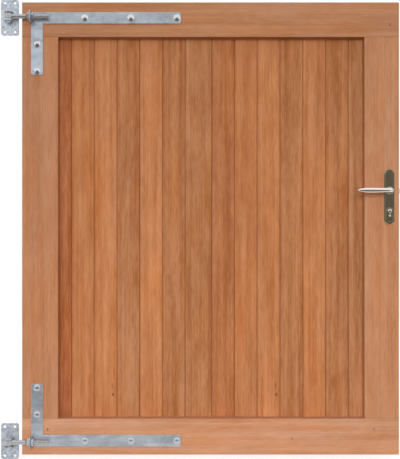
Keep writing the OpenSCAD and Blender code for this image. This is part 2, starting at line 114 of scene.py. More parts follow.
def objectCoords(tree, location=(0, 0, 0), scale=(1, 1, 1)):
    coords = tree.nodes.new("ShaderNodeTexCoord")
    return addNode(tree, "ShaderNodeMapping", {
        "Vector": coords.outputs["Object"], "Location": location, "Scale": scale}).outputs[0]


def lengthOf(tree, vector):
    return addNode(tree, "ShaderNodeVectorMath", {0: vector}, operation="LENGTH").outputs["Value"]


def axesOf(tree, vector):
    return addNode(tree, "ShaderNodeSeparateXYZ", {0: vector}).outputs


def toned(base, factors):
    return tuple(c * f for c, f in zip(base, factors))


# cedar: each timber has its own tone and its own stretch of grain

cedar = {
    "tones": {
        "mid": (0.494, 0.190, 0.075),
        "pale": (0.524, 0.205, 0.081),
        "dark": (0.442, 0.177, 0.071),
        "brown": (0.450, 0.188, 0.079),
        "red": (0.421, 0.144, 0.056),
        "russet": (0.440, 0.163, 0.063),
        "topRail": (0.496, 0.223, 0.108),
        "hingeStile": (0.503, 0.224, 0.111),
        "lockStile": (0.518, 0.235, 0.116),
        "bottomRail": (0.573, 0.272, 0.145),
    },
    "early": (1.15, 1.23, 1.32), "late": (0.75, 0.63, 0.50),
    "cool": (0.96, 1.02, 1.13), "warm": (1.03, 0.95, 0.84),
    "resin": (0.20, 0.045, 0.020),
    # layers of grain: stretch along the timber, then the noise's scale, detail, roughness and distortion
    "layers": {
        "bands": (0.03, 40, 2.0, 0.5, 0.3),
        "lines": (0.009, 130, 3.0, 0.65, 0.1),
        "strands": (0.009, 420, 4.0, 0.65, 0.0),
        "pores": (0.018, 1000, 2.0, 0.5, 0.0),
        "figure": (0.25, 26, 3.0, 0.55, 0.0),
        "flecks": (0.13, 170, 3.0, 0.6, 0.0),
        "patches": (0.22, 8, 3.0, 0.55, 0.4),
        "glow": (0.1, 24, 2.0, 0.5, 0.3),
    },
    "shares": {"bands": 0.28, "lines": 0.16, "flecks": 0.24, "strands": 0.12, "figure": 0.20},
    "seedSteps": (3.71, 1.93, 2.57), "halfRange": 0.15,
    "coolRange": (0.42, 0.64), "warmRange": (0.48, 0.72), "poreRange": (0.60, 0.72), "poreDepth": 0.30,
    "markRange": (0.85, 1.7), "markRagged": 1.2,
    "strandRange": (0.3, 0.7), "rough": (0.50, 0.68), "specular": 0.16,
    "bumpShares": {"strands": 0.6, "lines": 0.4}, "bumpDepth": 0.5 * mm, "bump": 0.4,
}


def markedColour(tree, colour, flecks, mark):
    # a knot or resin spot with a ragged edge
    x, z, wide, tall, depth = mark
    spot = objectCoords(tree, (-x / wide, 0, -z / tall), (1 / wide, 0, 1 / tall))
    ragged = maths(tree, "MULTIPLY", flecks, cedar["markRagged"])
    reach = maths(tree, "ADD", lengthOf(tree, spot), ragged)
    return mixColour(tree, spread(tree, reach, *cedar["markRange"], depth, 0.0), colour, cedar["resin"])


def cedarMaterial(name, tone, seed, along, contrast, marks):
    mat, tree, shader = newTree(name)
    base = cedar["tones"][tone]
    late, early = toned(base, cedar["late"]), toned(base, cedar["early"])
    offset = tuple(seed * step for step in cedar["seedSteps"])

    def layer(stretch, *settings):
        scale = (stretch, 1, 1) if along == "x" else (1, 1, stretch)
        return noise(tree, objectCoords(tree, offset, scale), *settings)

    grain = {key: layer(*settings) for key, settings in cedar["layers"].items()}
    level = weighted(tree, *((grain[key], share) for key, share in cedar["shares"].items()))
    half = cedar["halfRange"] / contrast
    colour = mixColour(tree, spread(tree, level, 0.5 - half, 0.5 + half), late, early)
    for key, tint in (("patches", "cool"), ("glow", "warm")):
        strength = spread(tree, grain[key], *cedar[tint + "Range"])
        colour = mixColour(tree, strength, colour, cedar[tint], "MULTIPLY")
    pores = spread(tree, grain["pores"], *cedar["poreRange"], 0.0, cedar["poreDepth"])
    colour = mixColour(tree, pores, colour, late)
    for mark in marks:
        colour = markedColour(tree, colour, grain["flecks"], mark)
    tree.links.new(colour, shader.inputs["Base Color"])
    rough = spread(tree, grain["strands"], *cedar["strandRange"], *cedar["rough"])
    tree.links.new(rough, shader.inputs["Roughness"])
    shader.inputs["Specular IOR Level"].default_value = cedar["specular"]
    relief = weighted(tree, *((grain[key], share) for key, share in cedar["bumpShares"].items()))
    bump(tree, shader, relief, cedar["bumpDepth"], cedar["bump"])
    return mat


# zinc and steel

zincCoat = {
    "dull": (0.33, 0.365, 0.41), "bright": (0.62, 0.67, 0.74), "levelRange": (0.36, 0.64),
    "cellScale": 110.0, "seedSteps": (1.7, 0.9, 2.3),
    # scale, detail, roughness and distortion of the noise
    "runs": (32, 4.0, 0.6, 0.8), "cloud": (12, 3.0, 0.6, 0.6), "grain": (190.0, 3.0, 0.7, 0.0),
    "cellShare": 0.3, "runShare": 0.6, "bumpDepth": 0.6 * mm,
    "plates": {"metallic": 0.45, "grainShare": 0.72, "rough": (0.36, 0.50), "bumpGrain": 0.5, "bump": 0.25},
    "straps": {"metallic": 0.62, "grainShare": 0.12, "rough": (0.28, 0.36), "bumpGrain": 0.1, "bump": 0.10},
}
plating = {
    "detail": 3.0, "fineness": 0.6, "low": 0.88, "high": 1.08,
    "roughRange": (0.3, 0.7), "roughLow": 0.8, "roughHigh": 1.25, "bumpDepth": 0.2 * mm, "bump": 0.15,
}


def galvanisedMaterial(name, kind, seed, gain, streak=(1, 1, 1), leg=None):
    mat, tree, shader = newTree(name)
    coat = zincCoat[kind]
    where = objectCoords(tree, tuple(seed * step for step in zincCoat["seedSteps"]))
    cells = addNode(tree, "ShaderNodeTexVoronoi", {"Vector": where, "Scale": zincCoat["cellScale"]})
    tint = addNode(tree, "ShaderNodeSeparateColor", {"Color": cells.outputs["Color"]}).outputs[0]
    runs = noise(tree, objectCoords(tree, (seed, seed, seed), streak), *zincCoat["runs"])
    cloud = noise(tree, where, *zincCoat["cloud"])
    grain = noise(tree, where, *zincCoat["grain"])
    fine = weighted(tree, (tint, zincCoat["cellShare"]), (grain, 1 - zincCoat["cellShare"]))
    broad = weighted(tree, (runs, zincCoat["runShare"]), (cloud, 1 - zincCoat["runShare"]))
    level = weighted(tree, (fine, coat["grainShare"]), (broad, 1 - coat["grainShare"]))
    dull, bright = (toned(zincCoat[key], (gain,) * 3) for key in ("dull", "bright"))
    colour = mixColour(tree, spread(tree, level, *zincCoat["levelRange"]), dull, bright)
    if leg:
        # the short leg is made lighter, from one height to another
        height = axesOf(tree, objectCoords(tree))["Z"]
        colour = mixColour(tree, spread(tree, height, *leg["heights"]), colour, leg["tone"], "MULTIPLY")
    tree.links.new(colour, shader.inputs["Base Color"])
    shader.inputs["Metallic"].default_value = coat["metallic"]
    tree.links.new(spread(tree, tint, 0, 1, *coat["rough"]), shader.inputs["Roughness"])
    relief = weighted(tree, (grain, coat["bumpGrain"]), (runs, 1 - coat["bumpGrain"]))
    bump(tree, shader, relief, zincCoat["bumpDepth"], coat["bump"])
    return mat


def platedMaterial(name, colour, roughness, scale=300, metallic=1.0):
    mat, tree, shader = newTree(name)
    cloud = noise(tree, objectCoords(tree), scale, plating["detail"], plating["fineness"])
    low, high = (toned(colour, (plating[key],) * 3) for key in ("low", "high"))
    tree.links.new(mixColour(tree, cloud, low, high), shader.inputs["Base Color"])
    shader.inputs["Metallic"].default_value = metallic
    smoothest, roughest = roughness * plating["roughLow"], roughness * plating["roughHigh"]
    rough = spread(tree, cloud, *plating["roughRange"], smoothest, roughest)
    tree.links.new(rough, shader.inputs["Roughness"])
    bump(tree, shader, cloud, plating["bumpDepth"], plating["bump"])
    return mat


galvanised = {
    "upperPlate": galvanisedMaterial("galvanised_upper_plate", "plates", seed=1, gain=1.22),
    "lowerPlate": galvanisedMaterial("galvanised_lower_plate", "plates", seed=4, gain=0.96),
    "upperStrap": galvanisedMaterial("galvanised_upper_strap", "straps", seed=2, gain=1.00,
                                     streak=(0.35, 1, 0.7),
                                     leg={"heights": (1.66, 1.60), "tone": (1.17, 1.20, 1.23)}),
    "lowerStrap": galvanisedMaterial("galvanised_lower_strap", "straps", seed=5, gain=0.94,
                                     streak=(0.22, 1, 1)),
}
brightZinc = platedMaterial("bright_zinc", (0.72, 0.73, 0.75), 0.20)
# zinc for the lower bolts: a rougher finish, and a colour darker than the bright zinc, which is painted shade
dullShadedZinc = platedMaterial("dull_shaded_zinc", (0.60, 0.63, 0.66), 0.28)
rodZinc = platedMaterial("rod_zinc", (0.53, 0.54, 0.56), 0.30, scale=240, metallic=0.85)
latchSteel = platedMaterial("latch_steel", (0.88, 0.88, 0.87), 0.45, metallic=0.3)
plateSteel = platedMaterial("satin_plate_steel", (0.438, 0.403, 0.270), 0.20, scale=160)
polished = platedMaterial("polished_steel", (0.92, 0.87, 0.82), 0.10, scale=220)
nickel = platedMaterial("satin_nickel", (0.74, 0.71, 0.64), 0.20, scale=400)
print("metals mixed")

# pieces: a softened copy of a solid, or a mesh of its own

meshing = {
    "merge": 0.001 * mm, "turnedMerge": 0.0001 * mm, "same": 0.01 * mm, "flat": 0.4, "sharp": 30,
    # a thread's ridge as a share of its pitch, and how far it stands in the rod
    "ridge": 0.86, "ridgeSunk": 0.2 * mm,
    # a nut's face as a share of its flats, its blank of its corners, the corners' slope and the bore's lip
    "nutFace": 0.95, "nutBlank": 1.01, "nutSlope": 30, "nutLip": 0.08,
}


def mergedCopy(name):
    bm = bmesh.new()
    bm.from_mesh(nodes[name].data)
    bmesh.ops.remove_doubles(bm, verts=bm.verts, dist=meshing["merge"])
    bmesh.ops.dissolve_limit(bm, angle_limit=math.radians(meshing["flat"]), use_dissolve_boundaries=False,
                             verts=bm.verts, edges=bm.edges, delimit=set())
    return bm


def roundEdges(bm, edges, width, segments, clamp=False):
    bmesh.ops.bevel(bm, geom=edges, offset=width, offset_type="OFFSET", segments=segments, profile=0.5,
                    affect="EDGES", material=-1, clamp_overlap=clamp)


def softenEdges(bm, width, segments=2, spared=None):
    limit = math.radians(meshing["sharp"])
    sharp = [e for e in bm.edges if len(e.link_faces) == 2 and e.calc_face_angle(0) > limit]
    if spared:
        sharp = [e for e in sharp if not spared(e)]
    roundEdges(bm, sharp, width, segments)


def makePiece(name, bm, material, body, replaced=(), smoothBelow=40):
    mesh = bpy.data.meshes.new(name)
    bm.to_mesh(mesh)
    bm.free()
    mesh.shade_smooth()
    mesh.set_sharp_from_angle(angle=math.radians(smoothBelow))
    mesh.materials.append(material)
    piece = bpy.data.objects.new(name, mesh)
    bpy.context.scene.collection.objects.link(piece)
    even = piece.modifiers.new("even_shading", "WEIGHTED_NORMAL")
    even.keep_sharp = True
    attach(piece, body)
    if replaced:
        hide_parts(*replaced)


def softPiece(node, name, width, material, body):
    bm = mergedCopy(node)
    softenEdges(bm, width)
    makePiece(name, bm, material, body, [node])


def middleOf(node):
    low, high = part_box(node)
    return (low + high) / 2


def lathe(points, steps, closed=False):
    # profile points are (along X, radius), turned once about X
    bm = bmesh.new()
    verts = [bm.verts.new((along, radius, 0)) for along, radius in points]
    pairs = list(zip(verts, verts[1:]))
    if closed:
        pairs.append((verts[-1], verts[0]))
    edges = [bm.edges.new(pair) for pair in pairs]
    bmesh.ops.spin(bm, geom=verts + edges, cent=(0, 0, 0), axis=(1, 0, 0), angle=math.tau, steps=steps,
                   use_merge=True)
    bmesh.ops.remove_doubles(bm, verts=bm.verts, dist=meshing["turnedMerge"])
    bmesh.ops.recalc_face_normals(bm, faces=bm.faces)
    return bm


def ringProfile(start, end, inner, outer):
    return [(start, inner), (start, outer), (end, outer), (end, inner)]


def domeProfile(radius, rise, top, steps):
    # a shallow dome along X, from its rim to its top
    ball = (radius ** 2 + rise ** 2) / (2 * rise)
    opening = math.asin(radius / ball)
    angles = [opening * (1 - step / steps) for step in range(steps)]
    return [(top - ball + ball * math.cos(a), ball * math.sin(a)) for a in angles] + [(top, 0)]


def threadCoil(start, end, root, crest, pitch, steps):
    # one ridge wound about X from start to end
    bm = bmesh.new()
    base = pitch * meshing["ridge"]
    foot = root - meshing["ridgeSunk"]
    corners = [(start, foot, 0), (start + base, foot, 0), (start + base / 2, crest, 0)]
    face = bm.faces.new([bm.verts.new(c) for c in corners])
    turns = int((end - start - base) / pitch)
    bmesh.ops.spin(bm, geom=[face], cent=(0, 0, 0), axis=(1, 0, 0), dvec=(pitch / steps, 0, 0),
                   angle=math.tau * turns, steps=steps * turns)
    bmesh.ops.recalc_face_normals(bm, faces=bm.faces)
    return bm


def cutAway(bm, place, outward):
    # takes off what lies beyond a plane and closes the cut
    cut = bmesh.ops.bisect_plane(bm, geom=bm.verts[:] + bm.edges[:] + bm.faces[:], plane_co=place,
                                 plane_no=outward, clear_outer=True)
    rim = [e for e in cut["geom_cut"] if isinstance(e, bmesh.types.BMEdge)]
    bmesh.ops.edgeloop_fill(bm, edges=rim)


def hexNut(acrossFlats, thick, bore, steps):
    # a turned blank with sloping corners, cut to six flats
    flat = acrossFlats / 2
    face = flat * meshing["nutFace"]
    corner = flat / math.cos(math.radians(30)) * meshing["nutBlank"]
    slope = (corner - face) * math.tan(math.radians(meshing["nutSlope"]))
    lip = min(thick, flat) * meshing["nutLip"]
    bm = lathe([(lip, bore), (0, bore + lip), (0, face), (slope, corner), (thick - slope, corner),
                (thick, face), (thick, bore + lip), (thick - lip, bore)], steps, closed=True)
    for side in range(6):
        angle = math.radians(60 * side)
        outward = Vector((0, math.cos(angle), math.sin(angle)))
        cutAway(bm, outward * flat, outward)
    bmesh.ops.recalc_face_normals(bm, faces=bm.faces)
    return bm


def addShape(target, shape, matrix):
    # moves a finished shape into a bigger mesh
    holder = bpy.data.meshes.new("holder")
    shape.to_mesh(holder)
    shape.free()
    holder.transform(matrix)
    target.from_mesh(holder)
    bpy.data.meshes.remove(holder)


def pointing(direction, place):
    # turns a shape made along +X to point in a direction, at a place
    turn = Vector(direction).to_track_quat("X", "Z").to_matrix().to_4x4()
    return Matrix.Translation(place) @ turn


def turnedAbout(degrees):
    return Matrix.Rotation(math.radians(degrees), 4, "X")


# timber

timber = {
    "frameEdge": 0.9 * mm, "boardEdge": 0.6 * mm, "jointEdge": 2.2 * mm, "jointSpared": 4 * mm,
    "frameTones": {"top_rail": "topRail", "bottom_rail": "bottomRail",
                   "hinge_stile": "hingeStile", "lock_stile": "lockStile"},
    "frameSeed": 20, "frameContrast": 1.0,
    "boardTones": ["red", "mid", "pale", "dark", "pale", "dark", "brown",
                   "russet", "mid", "pale", "dark", "pale", "dark", "brown"],
    "boardSeed": 1,
    "boardContrast": {"mid": 1.35, "pale": 1.35, "dark": 1.75, "brown": 1.75, "red": 1.9, "russet": 1.7},
    # knots and resin spots: x, z, half width, half height, depth of colour
    "marks": {
        "board_03": [(0.4035, 0.176, 0.0050, 0.0080, 0.95), (0.4020, 0.212, 0.0035, 0.0130, 0.6)],
        "board_10": [(1.0620, 0.176, 0.0050, 0.0075, 0.95), (1.0600, 0.214, 0.0035, 0.0140, 0.6)],
        "bottom_rail": [(0.1484, 0.046, 0.0060, 0.0060, 0.9), (1.121, 0.009, 0.0055, 0.0060, 0.45),
                        (1.447, 0.048, 0.0060, 0.0055, 0.5)],
        "top_rail": [(1.511, 1.656, 0.0060, 0.0060, 0.5)],
    },
}


def nearJoint(edge, within=timber["jointSpared"]):
    levels = (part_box("bottom_rail")[1][2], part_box("top_rail")[0][2])
    return any(all(abs(v.co.z - z) < within for v in edge.verts) for z in levels)


def easeJoints(bm):
    # the stile's ends are eased where they meet the rails, so the joints read as fine lines
    faceAt = (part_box("top_rail")[0][1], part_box("top_rail")[1][1])

    def onJoint(edge):
        onFace = any(all(abs(v.co.y - y) < meshing["same"] for v in edge.verts) for y in faceAt)
        return onFace and nearJoint(edge, meshing["same"])

    roundEdges(bm, [e for e in bm.edges if onJoint(e)], timber["jointEdge"], 1, clamp=True)


def frameTimber(node, tone, seed):
    rail = node.endswith("rail")
    wood = cedarMaterial("cedar_" + node, tone, seed, "x" if rail else "z", timber["frameContrast"],
                         timber["marks"].get(node, ()))
    bm = mergedCopy(node)
    if not rail:
        easeJoints(bm)
    softenEdges(bm, timber["frameEdge"], spared=None if rail else nearJoint)
    makePiece(node + "_timber", bm, wood, "leaf", [node])


def board(node, tone, seed):
    wood = cedarMaterial("cedar_" + node, tone, seed, "z", timber["boardContrast"][tone],
                         timber["marks"].get(node, ()))
    softPiece(node, node + "_plank", timber["boardEdge"], wood, "leaf")


for order, (node, tone) in enumerate(timber["frameTones"].items()):
    frameTimber(node, tone, timber["frameSeed"] + order)
boardNodes = sorted(n for n in nodes if n.startswith("board_"))
for order, node in enumerate(boardNodes):
    tone = timber["boardTones"][order % len(timber["boardTones"])]
    board(node, tone, timber["boardSeed"] + order)
print("timber cut:", len(timber["frameTones"]) + len(boardNodes), "pieces")

# nails through the board ends into the rebate, seen from the back

nail = {
    "radius": 2.6 * mm, "footRadius": 1.82 * mm, "crownRadius": 2.08 * mm, "crownRise": 0.3 * mm,
    "proud": 0.5 * mm, "sunk": 1 * mm, "fromEnd": 8 * mm, "fromEdge": 0.25, "steps": 10,
}


def nailHead():
    return lathe([(-nail["sunk"], 0), (-nail["sunk"], nail["footRadius"]), (0, nail["radius"]),
                  (nail["crownRise"], nail["crownRadius"]), (nail["proud"], 0)], nail["steps"])


nails = bmesh.new()
for node in boardNodes:
    low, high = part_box(node)
    for across in (nail["fromEdge"], 1 - nail["fromEdge"]):
        x = low[0] + (high[0] - low[0]) * across
        for z in (low[2] + nail["fromEnd"], high[2] - nail["fromEnd"]):
            addShape(nails, nailHead(), pointing((0, 1, 0), (x, high[1], z)))
makePiece("board_nails", nails, brightZinc, "leaf")
print("boards nailed")

# hinges

hinge = {
    "plateEdge": 0.9 * mm,
    "eyeRadius": 16 * mm, "eyeHeight": 21 * mm, "boreRadius": 8.2 * mm, "eyeEdge": 2.2 * mm,
    "eyeSteps": 48, "eyeEdgeSteps": 4,
    "rodRadius": 9 * mm, "rodRoot": 8.2 * mm, "rodChamfer": 1.6 * mm, "rodSteps": 32,
    "rodFromBore": 2 * mm, "taperRadius": 10.3 * mm, "neckAt": 25.6 * mm, "neckRadius": 9.36 * mm,
    "taperEnd": 32 * mm,
    "threadFrom": 66 * mm, "threadLead": 1 * mm, "threadPitch": 2.5 * mm, "threadSteps": 20,
    "nutFlats": 27 * mm, "nutThick": 10 * mm, "nutPlay": 0.1 * mm, "nutTurns": (8, 21), "nutSteps": 48,
    "eyeboltSmooth": 50, "nutSmooth": 25,
}


def eyebolt(side):
    node = f"{side}_eyebolt"
    low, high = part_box(node)
    pin = middleOf(node)
    pin.x = low[0] + hinge["eyeRadius"]
    reach = high[0] - pin.x
    bm = bmesh.new()
    half = hinge["eyeHeight"] / 2
    eye = ringProfile(-half, half, hinge["boreRadius"], hinge["eyeRadius"])
    ring = lathe(eye, hinge["eyeSteps"], closed=True)
    softenEdges(ring, hinge["eyeEdge"], hinge["eyeEdgeSteps"])
    addShape(bm, ring, pointing((0, 0, 1), pin))
    rod, root = hinge["rodRadius"], hinge["rodRoot"]
    start = hinge["boreRadius"] + hinge["rodFromBore"]
    coilFrom = hinge["threadFrom"] - hinge["threadLead"]
    coilEnd = reach - hinge["rodChamfer"]
    shank = lathe([
        (start, 0), (start, hinge["taperRadius"]), (hinge["eyeRadius"], hinge["taperRadius"]),
        (hinge["neckAt"], hinge["neckRadius"]), (hinge["taperEnd"], rod), (coilFrom, rod),
        (hinge["threadFrom"], root), (coilEnd, root), (reach, root - hinge["rodChamfer"]), (reach, 0),
    ], hinge["rodSteps"])
    addShape(bm, shank, Matrix.Translation(pin))
    coil = threadCoil(coilFrom, coilEnd, root, rod, hinge["threadPitch"], hinge["threadSteps"])
    addShape(bm, coil, Matrix.Translation(pin))
    makePiece(f"{side}_eyebolt_steel", bm, rodZinc, "leaf", [node], hinge["eyeboltSmooth"])


def eyeboltNuts(side):
    node = f"{side}_eyebolt_nuts"
    low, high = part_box(node)
    middle = middleOf(node)
    bm = bmesh.new()
    for x, turn in zip((low[0], high[0] - hinge["nutThick"]), hinge["nutTurns"]):
        bore = hinge["rodRadius"] + hinge["nutPlay"]
        nut = hexNut(hinge["nutFlats"], hinge["nutThick"], bore, hinge["nutSteps"])
        addShape(bm, nut, Matrix.Translation((x, middle.y, middle.z)) @ turnedAbout(turn))
    makePiece(f"{side}_eyebolt_nuts_steel", bm, rodZinc, "leaf", [node], hinge["nutSmooth"])


for side in ("upper", "lower"):
    softPiece(f"{side}_wall_plate", f"{side}_plate_steel", hinge["plateEdge"], galvanised[side + "Plate"],
              "wall_plates")
    softPiece(f"{side}_hinge_pin", f"{side}_pin_steel", hinge["plateEdge"], brightZinc,
              "wall_plates")
    eyebolt(side)
    eyeboltNuts(side)
print("hinges hung")

# straps and their bolts: domed heads in front, washers, nuts and threaded tails behind

# an edge of the outline turns by more than this angle, in radians
strap = {"thick": 6 * mm, "roll": 2.8 * mm, "rollSteps": 4, "edge": 1.0 * mm, "outlineTurn": 1}
strapBolt = {
    "headRadius": 14.5 * mm, "headHeight": 6 * mm, "rim": 0.8 * mm, "domeSteps": 10, "headSteps": 40,
    "shankRadius": 5 * mm, "shankSteps": 24, "tail": 6 * mm, "tailChamfer": 0.9 * mm,
    "threadRoot": 4.3 * mm, "pitch": 1.5 * mm, "threadSteps": 16,
    "washerRadius": 15 * mm, "washerThick": 2.5 * mm, "washerEdge": 0.5 * mm,
    "nutFlats": 17 * mm, "nutThick": 8 * mm, "nutPlay": 0.1 * mm, "nutTurn": 17, "nutSteps": 36,
    "boltSmooth": 35, "nutSmooth": 25,
    # the lower bolts take the zinc whose darker colour is painted shade
    "finish": {"upper": brightZinc, "lower": dullShadedZinc},
}


def strapBoltPlaces(node):
    # the middle of each separate solid of the node
    bm = mergedCopy(node)
    left = set(bm.verts)
    places = []
    while left:
        island = {left.pop()}
        edge = set(island)
        while edge:
            edge = {e.other_vert(v) for v in edge for e in v.link_edges} & left
            left -= edge
            island |= edge
        xs = [v.co.x for v in island]
        zs = [v.co.z for v in island]
        places.append(((min(xs) + max(xs)) / 2, (min(zs) + max(zs)) / 2))
    bm.free()
    return sorted(places)


def strapSteel(side):
    # the front outline is rolled round, the other edges are only eased
    node = f"{side}_strap"
    bm = mergedCopy(node)
    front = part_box(node)[1][1] - strap["thick"]
    holes = [Vector((x, front, z)) for x, z in strapBoltPlaces(node + "_bolts")]

    def onOutline(edge):
        if any(abs(v.co.y - front) > meshing["same"] for v in edge.verts) or not edge.is_convex:
            return False
        middle = (edge.verts[0].co + edge.verts[1].co) / 2
        clear = all((middle - hole).length > strapBolt["headRadius"] for hole in holes)
        return clear and edge.calc_face_angle(0) > strap["outlineTurn"]

    roundEdges(bm, [e for e in bm.edges if onOutline(e)], strap["roll"], strap["rollSteps"])
    softenEdges(bm, strap["edge"])
    makePiece(f"{side}_strap_steel", bm, galvanised[side + "Strap"], "leaf", [node])


def boltHead():
    radius, height = strapBolt["headRadius"], strapBolt["headHeight"]
    dome = domeProfile(radius, height - strapBolt["rim"], height, strapBolt["domeSteps"])
    return lathe([(0, 0), (0, radius)] + dome, strapBolt["headSteps"])


def boltShank(length):
    radius, root, chamfer = strapBolt["shankRadius"], strapBolt["threadRoot"], strapBolt["tailChamfer"]
    tailFrom = length - strapBolt["tail"]
    return lathe([(0, 0), (0, radius), (tailFrom, radius), (tailFrom, root), (length - chamfer, root),
                  (length, root - chamfer), (length, 0)], strapBolt["shankSteps"])


def boltThread(length):
    return threadCoil(length - strapBolt["tail"], length - strapBolt["tailChamfer"] / 2,
                      strapBolt["threadRoot"], strapBolt["shankRadius"], strapBolt["pitch"],
                      strapBolt["threadSteps"])


def washer(bore):
    ring = ringProfile(0, strapBolt["washerThick"], bore, strapBolt["washerRadius"])
    bm = lathe(ring, strapBolt["headSteps"], closed=True)
    softenEdges(bm, strapBolt["washerEdge"])
    return bm


def strapBolts(side):
    node = f"{side}_strap_bolts"
    nutNode = f"{side}_strap_nuts"
    low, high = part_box(node)
    seat = low[1] + strapBolt["headHeight"]
    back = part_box(nutNode)[0][1]
    bore = strapBolt["shankRadius"] + strapBolt["nutPlay"]
    bolts = bmesh.new()
    nuts = bmesh.new()
    for order, (x, z) in enumerate(strapBoltPlaces(node)):
        addShape(bolts, boltHead(), pointing((0, -1, 0), (x, seat, z)))
        addShape(bolts, boltShank(high[1] - seat), pointing((0, 1, 0), (x, seat, z)))
        addShape(bolts, boltThread(high[1] - seat), pointing((0, 1, 0), (x, seat, z)))
        addShape(nuts, washer(bore), pointing((0, 1, 0), (x, back, z)))
        nut = hexNut(strapBolt["nutFlats"], strapBolt["nutThick"], bore, strapBolt["nutSteps"])
        place = pointing((0, 1, 0), (x, back + strapBolt["washerThick"], z))
        addShape(nuts, nut, place @ turnedAbout(strapBolt["nutTurn"] * order))
    makePiece(f"{side}_strap_bolts_steel", bolts, strapBolt["finish"][side], "leaf", [node],
              strapBolt["boltSmooth"])
    makePiece(f"{side}_strap_nuts_steel", nuts, brightZinc, "leaf", [nutNode],
              strapBolt["nutSmooth"])


for side in ("upper", "lower"):
    strapSteel(side)
    strapBolts(side)
print("straps bolted")

# handles: bevelled plates with a raised guard, levers swept from neck to tip

handle = {
    "edge": 0.4 * mm,
    "guardEdge": 2 * mm, "guardEdgeSteps": 4,
    # the guard's outline lies further than this from its middle line, whose half length is the spine
    "guardInside": 14 * mm, "guardSpine": 13 * mm, "guardDrop": 95 * mm,
    "neck": 8.5 * mm, "grip": 11.48 * mm, "bend": 15 * mm, "out": 50 * mm, "length": 135 * mm, "tip": 46 * mm,
    "tipGap": 0.02 * mm, "root": 1 * mm,
    "collarRadius": 15 * mm, "collarFrom": 8.3 * mm, "collarThick": 5 * mm, "collarSunk": 0.3 * mm,
    "collarEdge": 2 * mm, "collarEdgeSteps": 4, "collarSteps": 40,
    "sides": 32, "neckSteps": 2, "bendSteps": 10, "gripSteps": 12, "tipSteps": 14, "leverSmooth": 50,
}


def shieldPlate(side):
    node = f"{side}_handle_plate"
    bm = mergedCopy(node)
    low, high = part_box(node)
    front = low[1] if side == "front" else high[1]
    middle = middleOf("lever_spindle")
    middle.z -= handle["guardDrop"]

    def onGuard(vert):
        beyond = max(0.0, abs(vert.co.z - middle.z) - handle["guardSpine"])
        outside = math.hypot(vert.co.x - middle.x, beyond) > handle["guardInside"]
        return outside and abs(vert.co.y - front) < meshing["same"]

    guard = [e for e in bm.edges if all(onGuard(v) for v in e.verts)]
    roundEdges(bm, guard, handle["guardEdge"], handle["guardEdgeSteps"])
    softenEdges(bm, handle["edge"])
    makePiece(f"{side}_shield_steel", bm, plateSteel, "leaf", [node])


def gripRadius(along):
    straight = handle["length"] - handle["bend"] - handle["tip"]
    if along < straight:
        swell = math.sin(math.pi / 2 * along / straight)
        return handle["neck"] + (handle["grip"] - handle["neck"]) * swell
    return handle["grip"] * math.sqrt(max(0.0, 1 - ((along - straight) / handle["tip"]) ** 2))


def gripStops():
    # even steps along the grip, then shorter ones towards the tip
    whole = handle["length"] - handle["bend"]
    straight = whole - handle["tip"]
    stops = [straight * (k + 1) / handle["gripSteps"] for k in range(handle["gripSteps"])]
    for k in range(handle["tipSteps"]):
        stops.append(straight + handle["tip"] * math.sin(math.pi / 2 * (k + 1) / handle["tipSteps"]))
    stops[-1] = whole - handle["tipGap"]
    return stops


def pullCap(bm, cap, move):
    grown = bmesh.ops.extrude_face_region(bm, geom=cap)["geom"]
    bmesh.ops.delete(bm, geom=cap, context="FACES_ONLY")
    verts = [g for g in grown if isinstance(g, bmesh.types.BMVert)]
    bmesh.ops.translate(bm, verts=verts, vec=move)
    return [g for g in grown if isinstance(g, bmesh.types.BMFace)], verts


def sweptLever():
    # from the root out along -Y, round the bend, then along -X to the tip
    bm = bmesh.new()
    bmesh.ops.create_circle(bm, cap_ends=True, segments=handle["sides"], radius=handle["neck"],
                            matrix=turnedAbout(90))
    bmesh.ops.translate(bm, verts=bm.verts, vec=(0, -handle["root"], 0))
    cap = bm.faces[:]
    neckLength = handle["out"] - handle["bend"] - handle["root"]
    for step in range(handle["neckSteps"]):
        cap, verts = pullCap(bm, cap, (0, -neckLength / handle["neckSteps"], 0))
    bend = (-handle["bend"], handle["bend"] - handle["out"], 0)
    turned = bmesh.ops.spin(bm, geom=cap, cent=bend, axis=(0, 0, -1), angle=math.radians(90),
                            steps=handle["bendSteps"])
    bmesh.ops.delete(bm, geom=cap, context="FACES_ONLY")
    cap = [g for g in turned["geom_last"] if isinstance(g, bmesh.types.BMFace)]
    at, radius = 0.0, handle["neck"]
    for stop in gripStops():
        cap, verts = pullCap(bm, cap, (at - stop, 0, 0))
        wanted = gripRadius(stop)
        middle = sum((v.co for v in verts), Vector()) / len(verts)
        bmesh.ops.scale(bm, verts=verts, vec=(1, wanted / radius, wanted / radius),
                        space=Matrix.Translation(-middle))
        at, radius = stop, wanted
    bmesh.ops.edgeloop_fill(bm, edges=[e for e in bm.edges if e.is_boundary])
    return bm


def lever(side, outward):
    node = f"{side}_lever"
    low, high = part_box(node)
    root = middleOf("lever_spindle")
    root.y = (high[1] + handle["root"]) if outward < 0 else (low[1] - handle["root"])
    bm = sweptLever()
    if outward > 0:
        bmesh.ops.scale(bm, verts=bm.verts, vec=(1, -1, 1))
    bmesh.ops.recalc_face_normals(bm, faces=bm.faces)
    bmesh.ops.translate(bm, verts=bm.verts, vec=root)
    makePiece(f"{side}_lever_steel", bm, polished, "lever", [node], handle["leverSmooth"])

    start, end = handle["collarFrom"], handle["collarFrom"] + handle["collarThick"]
    ring = ringProfile(start, end, handle["neck"] - handle["collarSunk"], handle["collarRadius"])
    collar = lathe(ring, handle["collarSteps"], closed=True)
    softenEdges(collar, handle["collarEdge"], handle["collarEdgeSteps"])
    placed = bmesh.new()
    addShape(placed, collar, pointing((0, outward, 0), root))
    makePiece(f"{side}_lever_collar", placed, polished, "lever")


for side, outward in (("front", -1), ("back", 1)):
    shieldPlate(side)
    lever(side, outward)
print("handles fitted")

# lock: cylinder with domed plugs, face plate and bolts, socket screws

